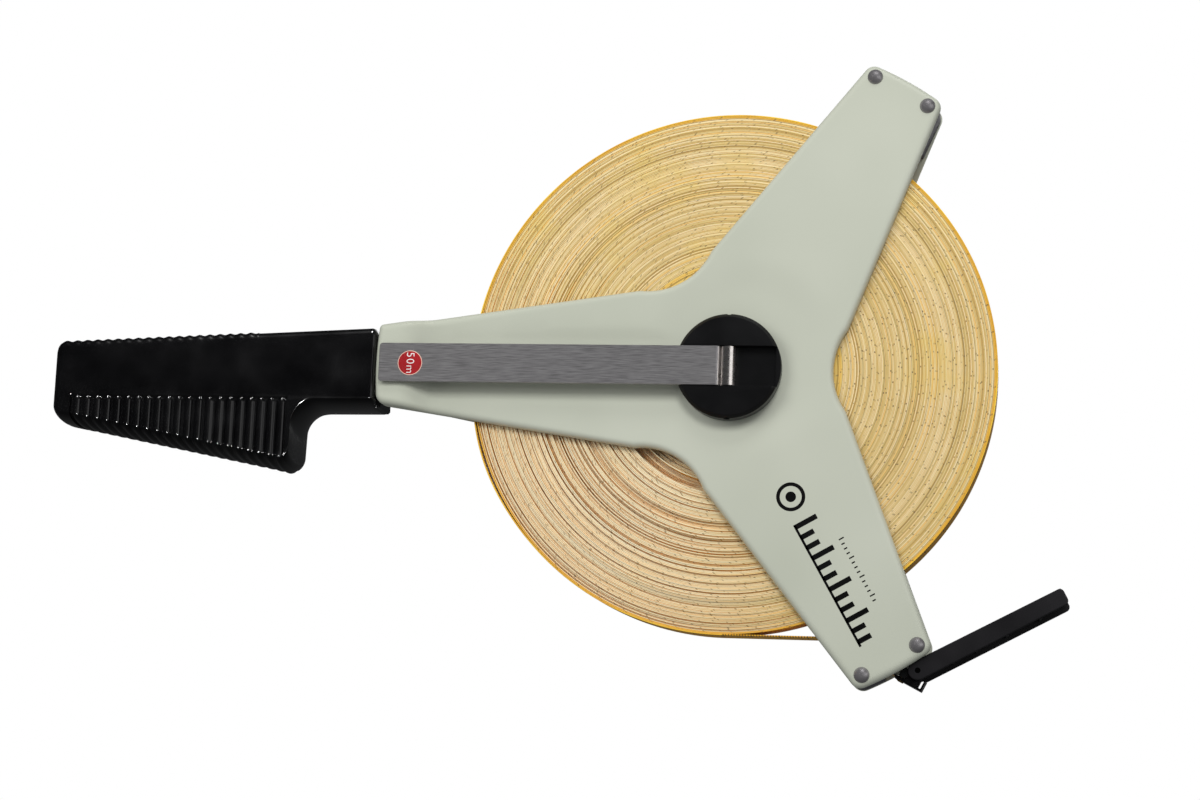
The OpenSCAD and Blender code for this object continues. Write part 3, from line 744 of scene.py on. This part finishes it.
def coil():
    """The wound tape: every turn has its own height, and bunches of turns stand proud or sunk."""
    rng = random.Random(7)
    steps = 256
    heights = []
    bunch, left, phase = 0.0, 0, 0.0
    for _ in range(TURNS):
        if left == 0:
            left = rng.randint(3, 11)
            bunch = rng.random() ** 2
            phase = rng.uniform(0, 2 * math.pi)
        left -= 1
        heights.append((bunch, rng.random(), phase, left == 0))
    slack = [i for i in range(TURNS) if SLACK_R[0] < DRUM_R + i * PITCH < SLACK_R[1]]

    def top(i, angle):
        bunch, own, phase, _ = heights[i]
        facing = max(0.0, math.cos(angle - LOOSE_ANGLE))
        if i in slack:
            return TAPE_HALF - 0.1 * own - 9.0 * facing ** 1.5 * (0.75 + 0.25 * own)
        loose = 0.2 + (4.6 if i < slack[-1] + 60 else 3.2) * facing ** 1.6
        sway = 0.5 + 0.5 * math.sin(angle * 3 + phase)
        return TAPE_HALF - 0.1 * own - (bunch * (0.3 + 0.7 * sway) + 0.5 * own ** 2) * loose

    rings = []
    for k in range(steps):
        angle = 2 * math.pi * k / steps
        c, s = math.cos(angle), math.sin(angle)
        profile = [(DRUM_R + 0.03, top(0, angle) - 0.2)]
        for i in range(TURNS):
            r, w = DRUM_R + 0.02 + i * PITCH, top(i, angle)
            gap = 1.1 if heights[i][3] else 0.12
            profile += [(r + 0.05, w), (r + PITCH - 0.08, w), (r + PITCH - 0.02, w - gap)]
        back = [(r, -w) for r, w in reversed(profile)]
        rings.append([(r * c, r * s, w) for r, w in profile + back])
    mesh = new_mesh("coil", *loop(rings), 35)
    add_piece("coil", mesh, [COIL_SIDE], "reel", ["tape_coil"])


def ribbon(path, half=None):
    """Skin of a strip of tape whose middle follows path, a list of (x, y, nx, ny) with the normal."""
    rings = []
    for i, (x, y, nx, ny) in enumerate(path):
        wide = half[i] if half else TAPE_HALF
        t, edge = TAPE_T / 2, 0.12
        corners = [(-t, wide - edge), (-t + edge, wide), (t - edge, wide), (t, wide - edge),
                   (t, edge - wide), (t - edge, -wide), (-t + edge, -wide), (-t, edge - wide)]
        rings.append([(x + nx * q, y + ny * q, w) for q, w in corners])
    return loft(rings)


def outer_turn():
    """The last turn, which lies loose on the lower left before it leaves the coil."""
    path = []
    for i in range(341):
        degrees = 270.0 - i
        angle = math.radians(degrees)
        slack = 0.7 * math.exp(-((degrees - 202) / 13) ** 2)
        tuck = 0.35 * max(0.0, (i - 300) / 40)
        r = COIL_R + 0.26 + slack - tuck
        path.append((r * math.cos(angle), r * math.sin(angle), math.cos(angle), math.sin(angle)))
    mesh = new_mesh("outer_turn", *ribbon(path), 40)
    for polygon in mesh.polygons:
        if abs(polygon.normal.y) > 0.5:
            polygon.material_index = 1
    add_piece("outer_turn", mesh, [COIL_FACE, TAPE_RIM], "reel")


def on_slope(s, lift=0.0):
    """The point s along the falling tape from its bend, raised by lift at right angles to it."""
    return BEND_X + FALL[0] * s + LIFT[0] * lift, LEAD_Y + FALL[1] * s + LIFT[1] * lift


def tape_run():
    """The tape from the coil to the bend in the mouth, and the drawn part that reaches to the claw."""
    bend_r = 8.0
    span = bend_r * math.tan(EXIT_FALL / 2)
    path = [(x, LEAD_Y, 0, -1) for x in (0, 10, 20, 30, BEND_X - span)]
    for i in range(1, 9):
        turn = EXIT_FALL * i / 8
        path.append((BEND_X - span + bend_r * math.sin(turn), LEAD_Y - bend_r + bend_r * math.cos(turn),
                     -math.sin(turn), -math.cos(turn)))
    down = (-LIFT[0], -LIFT[1])
    path.append((*on_slope(3.9), *down))
    lead = new_mesh("tape_lead_strip", *ribbon(path), 40)
    add_piece("tape_lead_strip", lead, [LEAD_FACE], "frame", ["tape_lead"])

    stations = [(4.0 + (MOUTH_LEN - 5.0) * i / 80, TAPE_HALF) for i in range(81)]
    tip_half = 3.66
    stations += [(MOUTH_LEN + s, tip_half) for s in (-0.6, 3.0, 6.5)]
    skin = ribbon([(*on_slope(s), *down) for s, _ in stations], [half for _, half in stations])
    drawn = new_mesh("drawn_tape", *skin, 40)
    for polygon in drawn.polygons:
        if polygon.center.x > on_slope(MOUTH_LEN - 1.5)[0] * MM:
            polygon.material_index = 1
    piece = add_piece("drawn_tape", drawn, [LEAD_FACE, BLACK], None, ["tape_tip"])
    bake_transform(piece)


def mouth_lip():
    """The mouth's own end beside the slot, flush with the plates' ends."""
    out, inner = ARM_END - 0.3, ARM_END - 3.15
    u, v = arm_corner(ARM_ROOT - 0.35 * SLANT, out, TIP_R - 0.3)
    nose = math.degrees(math.atan2(v, u))
    shape = arc((u, -v), TIP_R - 0.3, TAPER_DEG - 90, -nose, 8) + arc((0, 0), out, -nose, -2.2, 10)[1:]
    shape += arc((0, 0), inner, -2.2, -nose - 0.9, 6)
    mesh = new_mesh("mouth_lip", *prism(turned(shape, 300), -PLATE_IN + 0.03, PLATE_IN - 0.03))
    add_piece("mouth_lip", mesh, [GREY], "frame")


def claw_stop():
    """A rubber stop on the tape between the mouth and the claw's ears."""
    outline = [(0.5, 0.3), (2.9, 0.3), (2.9, 3.4), (2.5, 3.9), (1.0, 3.9), (0.5, 3.4)]
    placed = [on_slope(MOUTH_LEN + s, q) for s, q in outline]
    mesh = new_mesh("claw_stop", *prism(placed, -4.3, 4.3))
    add_piece("claw_stop", mesh, [BLACK], "tape_end")


def pushed_in(outline, distance):
    """The same outline with each point moved inwards by distance."""
    moved = []
    for i, (x, y) in enumerate(outline):
        (x0, y0), (x1, y1) = outline[i - 1], outline[(i + 1) % len(outline)]
        along = math.hypot(x1 - x0, y1 - y0)
        moved.append((x - (y1 - y0) / along * distance, y + (x1 - x0) / along * distance))
    return moved


def rounded_prism(outline, low, high, edge):
    """A prism over a counter-clockwise outline, with both rims rounded."""
    rims = []
    for t in (math.radians(15 * i) for i in range(7)):
        rims.append((edge * (1 - math.sin(t)), pushed_in(outline, edge * (1 - math.cos(t)))))
    rings = [[(x, y, low + depth) for x, y in rim] for depth, rim in reversed(rims)]
    rings += [[(x, y, high - depth) for x, y in rim] for depth, rim in rims]
    return loft(rings)


def handle_bar():
    """An open channel: two cheeks joined by a web on top, an end wall and four cross ribs."""
    half_w, half_t, length = 3.43, 6.48, 58.0
    pivot_s, pivot_lift, rise = 5.65, 5.0, math.radians(28.2)
    px, py = on_slope(MOUTH_LEN + pivot_s, pivot_lift)

    def on_bar(points):
        c, s = math.cos(rise), math.sin(rise)
        return [(px + a * c - b * s, py + a * s + b * c) for a, b in points]

    def cheek(low, climb, start):
        """Outline of a cheek whose lower edge starts at low and climbs towards the far end."""
        far, corner = low + climb, 1.8
        return ([(a, low + climb * a / length) for a in start]
                + arc((length - corner, far + corner), corner, 270, 360, 9)
                + arc((length - 1.6, half_w - 1.6), 1.6, 0, 90, 9) + arc((0, 0), half_w, 90, 180, 13))

    front = cheek(-half_w, 0.7, (6, 14, 30)) + arc((0, 0), half_w, 180, 270, 13)[1:]
    rear = cheek(-half_w - 0.92, 0.3, (0.1, 6, 14, 30)) + arc((0, 0), half_w, 180, 268, 13)[1:]
    parts = [rounded_prism(on_bar(front), half_t - 1.4, half_t, 0.55),
             rounded_prism(on_bar(rear), -half_t, -half_t + 1.2, 0.3)]
    inner = half_t - 1.1
    web = ((5.0, half_w - 1.25), (length - 0.6, half_w - 0.02))
    end_wall = ((length - 1.35, 2.5 - half_w), (length - 0.05, half_w - 1.2))
    ribs = [((a, 0.5 - half_w), (a + 1.0, half_w - 1.0)) for a in (12, 21, 33, 46)]
    for (a0, b0), (a1, b1) in [web, end_wall] + ribs:
        parts.append(prism(on_bar([(a0, b0), (a1, b0), (a1, b1), (a0, b1)]), -inner, inner))
    mesh = new_mesh("handle_bar", *merge(parts), 50)
    add_piece("handle_bar", mesh, [BAR_BLACK], "handle_bar", ["hook_handle"])
    # painted shade: a thin near-black disc without sheen, proud of the cheek, stands for the dark of the
    # pivot's hole
    low, pin_r = half_t - 0.1, 1.0
    rim = [(0.02, low), (0.02, half_t + 0.01), (pin_r, half_t + 0.015), (pin_r, low)]
    hole = lathe(rim, (px, py), 32)
    add_piece("bar_pivot_shade_disc", new_mesh("bar_pivot_shade_disc", *hole), [PIVOT_SHADE], "handle_bar")


# ---- crank ----

def crank():
    """The strip: flat, with a stepped root that is rolled into the hinge's barrel."""
    under = STRIP_TOP - STRIP_T
    edge = 0.25
    top = [(-STRIP_END, under + 0.5), (-STRIP_END, STRIP_TOP - edge), (-STRIP_END + edge, STRIP_TOP)]
    top += between((-STRIP_END + edge, STRIP_TOP), (-4.3, STRIP_TOP), 30)
    top += [(-4.3, STRIP_TOP), (-3.9, STRIP_TOP - 0.08), (-3.5, STRIP_TOP - 0.35), (-3.1, STRIP_TOP - 0.85)]
    barrel = arc((0, HINGE_W), BARREL_R, 158, -150, 34)
    root, tip = (-3.2, under), (-STRIP_END + 0.4, under)
    bottom = [root] + between(root, tip, 30) + [tip]
    profile = top + barrel + bottom
    corner_r = 1.2
    rings = []
    for y in (-7.1, -7.02, -6.8, -6.4, -5.9, 5.9, 6.4, 6.8, 7.02, 7.1):
        cut = corner_r - math.sqrt(corner_r ** 2 - max(0.0, abs(y) - STRIP_HALF + corner_r) ** 2)
        ring = []
        for x, w in profile:
            mid = (STRIP_TOP + under) / 2 if x < -3 else HINGE_W
            thin = 1.0 if abs(y) < 7.05 else 0.8 if x < -3 else 0.94
            ring.append((x + (cut if x < -STRIP_END + 1 else 0), y, mid + (w - mid) * thin))
        rings.append(ring)
    mesh = new_mesh("crank_strip", *loft(rings), 30)
    for polygon in mesh.polygons:
        if polygon.center.x > -3.7 * MM:
            polygon.material_index = 1
    add_piece("crank_strip", mesh, [STRIP, BARREL], "crank", ["crank_arm"])
    low, high = STRIP_TOP - 0.05, STRIP_TOP + 0.03
    ring = lathe([(1.25, low), (1.25, high), (1.45, high), (1.45, low)], KNOB_AT, 40)
    add_piece("rivet_ring", new_mesh("rivet_ring", *ring), [STRIP], "crank")


def label():
    centre = (-116.2, -0.3)
    low, high = STRIP_TOP, STRIP_TOP + 0.07
    red_r, rim_r = 4.3, 4.55
    disc = lathe([(0.02, low), (0.02, high), (red_r, high), (red_r, low)], centre, 72)
    add_piece("label_disc", new_mesh("label_disc", *disc), [RED], "crank", ["length_label"])
    rim = lathe([(red_r, low), (red_r, high - 0.01), (rim_r, high - 0.02), (rim_r, low)], centre, 72)
    add_piece("label_rim", new_mesh("label_rim", *rim), [LABEL_RIM], "crank")
    text = bpy.data.curves.new("length_number", "FONT")
    text.body = "50m"
    text.size = 4.15
    text.align_x = "CENTER"
    text.align_y = "CENTER"
    text.offset = -0.04
    text.extrude = 0.02
    text.space_character = 1.15
    source = bpy.data.objects.new("length_number_source", text)
    bpy.context.scene.collection.objects.link(source)
    bpy.context.view_layer.update()
    mesh = bpy.data.meshes.new_from_object(source.evaluated_get(bpy.context.evaluated_depsgraph_get()))
    bpy.data.objects.remove(source)
    # the number reads downwards: its own x is down and its own y is to the right
    spot = place(centre[0], centre[1], high + 0.02)
    turn = Matrix(((0, 1, 0), (0, 0, -1), (-1, 0, 0))).to_4x4()
    mesh.transform(Matrix.Translation(spot) @ turn @ Matrix.Scale(MM, 4))
    mesh.name = "length_number"
    add_piece("length_number", mesh, [WHITE], "crank")


# ---- pieces that keep their CAD shape and get softened edges ----

def polished(node, material, body, edge, segments=3):
    """A copy of a CAD node with its hard edges rounded off."""
    hard_angle = math.radians(32)
    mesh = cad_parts[node].data.copy()
    mesh.name = node + "_piece"
    for name in ("custom_normal", "sharp_face"):
        if name in mesh.attributes:
            mesh.attributes.remove(mesh.attributes[name])
    bm = bmesh.new()
    bm.from_mesh(mesh)
    bmesh.ops.remove_doubles(bm, verts=bm.verts, dist=2e-6)
    bmesh.ops.dissolve_limit(bm, angle_limit=math.radians(0.8), verts=bm.verts, edges=bm.edges)
    hard = [e for e in bm.edges if len(e.link_faces) == 2 and e.calc_face_angle(0) > hard_angle]
    bmesh.ops.bevel(bm, geom=hard, offset=edge * MM, segments=segments, profile=0.5, affect="EDGES",
                    clamp_overlap=True)
    bmesh.ops.triangulate(bm, faces=[f for f in bm.faces if len(f.verts) > 4])
    bm.to_mesh(mesh)
    bm.free()
    finish_mesh(mesh, 40)
    return add_piece(node + "_piece", mesh, [material], body, [node])


def dress(node, material):
    """A CAD node that is shown as it is."""
    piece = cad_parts[node]
    piece.data.materials.clear()
    piece.data.materials.append(material)
    piece.data.shade_smooth()


def small_parts():
    polished("hub_disc", BLACK, "reel", 0.45)
    polished("crank_knob", BLACK, "knob", 0.2)
    polished("arm_spacer", GREY, "frame", 0.4)
    polished("tape_mouth", GREY, "frame", 0.3)
    claw = polished("end_bracket", STEEL, "tape_end", 0.1, 2)
    claw.data.materials.append(DARK_STEEL)
    for polygon in claw.data.polygons:
        if abs(polygon.center.y) > 3.6 * MM:
            polygon.material_index = 1
    polished("reel_drum", DRUM, "reel", 0.3, 2)
    polished("spindle", STEEL, "reel", 0.2, 2)
    for node in ("front_bush", "rear_bush"):
        dress(node, BLACK)
    for node in ("spring_washer", "tape_anchor", "hinge_pin", "knob_pin", "grip_screws"):
        dress(node, STEEL)
    for node in ("hook_pin", "disc_screw"):
        dress(node, DARK_STEEL)
    dress("tip_rivets", BRASS)


# ---- floor, light and camera ----

def stage():
    """The floor lies low enough for the drawn tape and its swung handle bar."""
    bpy.ops.mesh.primitive_circle_add(vertices=96, radius=8, fill_type="NGON", location=(0, 0, FLOOR_Z))
    floor = bpy.context.object
    floor.name = "floor"
    paint = Paint("floor", srgb(238, 238, 236), 1.0, specular=0.0)
    paint.set("Base Color", paint.mix(paint.noise(3.0), srgb(236, 236, 234), srgb(242, 242, 240)))
    floor.data.materials.append(paint.material)
    # it isn't mirrored in the reel and throws no light back at it
    floor.visible_glossy = False
    floor.visible_diffuse = False


def lamp(name, spot, aim, size, power):
    data = bpy.data.lights.new(name, "AREA")
    data.shape = "RECTANGLE"
    data.size, data.size_y = size
    data.energy = power
    lamp_object = bpy.data.objects.new(name, data)
    lamp_object.location = spot
    lamp_object.rotation_euler = (Vector(aim) - Vector(spot)).to_track_quat("-Z", "Y").to_euler()
    bpy.context.scene.collection.objects.link(lamp_object)
    return lamp_object


def light():
    centre = (0, 0, 0)
    # key and fill give the shading only, so that flat black and steel faces don't mirror them
    for soft in (lamp("key", (0.25, -1.08, 0.5), centre, (0.42, 0.42), 6.7),
                 lamp("fill", (-0.55, -0.8, 0.25), centre, (0.5, 0.5), 3.4)):
        soft.visible_glossy = False
    lamp("top", (0.2, -0.65, 1.05), centre, (0.6, 0.35), 3.1)
    lamp("back", (0.2, 1.5, 0.9), centre, (1.4, 1.4), 12.0)
    side = lamp("side", (1.0, -0.7, 0.1), centre, (1.2, 0.7), 2.6)
    side.visible_diffuse = False
    # two small lamps give the grip its sparkle and light nothing else
    shiny = bpy.data.collections.new("shiny")
    shiny.objects.link(bpy.data.objects["grip_body"])
    for glint in (lamp("glint_top", (-0.1, -0.9, 1.15), (-0.15, 0, 0), (0.14, 0.14), 40.0),
                  lamp("glint_low", (-0.05, -0.55, -0.28), (-0.2, 0, -0.02), (0.09, 0.09), 9.0)):
        glint.visible_diffuse = False
        glint.visible_camera = False
        glint.light_linking.receiver_collection = shiny
    # one more lights the floor alone, evenly
    ground = bpy.data.collections.new("ground")
    ground.objects.link(bpy.data.objects["floor"])
    sun = bpy.data.objects.new("sun", bpy.data.lights.new("sun", "SUN"))
    sun.data.energy = 2.4
    bpy.context.scene.collection.objects.link(sun)
    sun.light_linking.receiver_collection = ground
    world = bpy.data.worlds.new("world")
    bpy.context.scene.world = world
    world.use_nodes = True
    tree = world.node_tree
    seen, glow = tree.nodes["Background"], tree.nodes.new("ShaderNodeBackground")
    seen.inputs["Color"].default_value = (1, 1, 1, 1)
    seen.inputs["Strength"].default_value = 1.0
    glow.inputs["Color"].default_value = (0.96, 0.98, 1.0, 1)
    rays, choose = tree.nodes.new("ShaderNodeLightPath"), tree.nodes.new("ShaderNodeMixShader")
    # mirrored in the pieces the room is darker than the light it gives, like a studio with dark walls
    dim = tree.nodes.new("ShaderNodeMapRange")
    dim.inputs["To Min"].default_value = 0.32
    dim.inputs["To Max"].default_value = 0.05
    tree.links.new(rays.outputs["Is Glossy Ray"], dim.inputs["Value"])
    tree.links.new(dim.outputs["Result"], glow.inputs["Strength"])
    tree.links.new(rays.outputs["Is Camera Ray"], choose.inputs[0])
    tree.links.new(glow.outputs[0], choose.inputs[1])
    tree.links.new(seen.outputs[0], choose.inputs[2])
    tree.links.new(choose.outputs[0], tree.nodes["World Output"].inputs["Surface"])
    bpy.context.scene.view_settings.view_transform = "Standard"


def camera():
    """The camera stands a little below and to the right of the reel and looks up at it."""
    azimuth, elevation, roll = (math.radians(v) for v in (9.51, -9.446, 2.284))
    back = Vector((math.sin(azimuth) * math.cos(elevation), -math.cos(azimuth) * math.cos(elevation),
                   math.sin(elevation)))
    data = bpy.data.cameras.new("camera")
    data.sensor_width = 36
    data.lens = 79.83
    eye = bpy.data.objects.new("camera", data)
    turn = (-back).to_track_quat("-Z", "Y").to_matrix() @ Matrix.Rotation(roll, 3, "Z")
    eye.matrix_world = Matrix.Translation((0.1102, -0.9474, -0.1700)) @ turn.to_4x4()
    bpy.context.scene.collection.objects.link(eye)
    bpy.context.scene.camera = eye


plates()
rivets()
arm_print()
grip()
coil()
outer_turn()
tape_run()
mouth_lip()
claw_stop()
handle_bar()
crank()
label()
small_parts()
stage()
light()
camera()

bpy.context.view_layer.update()
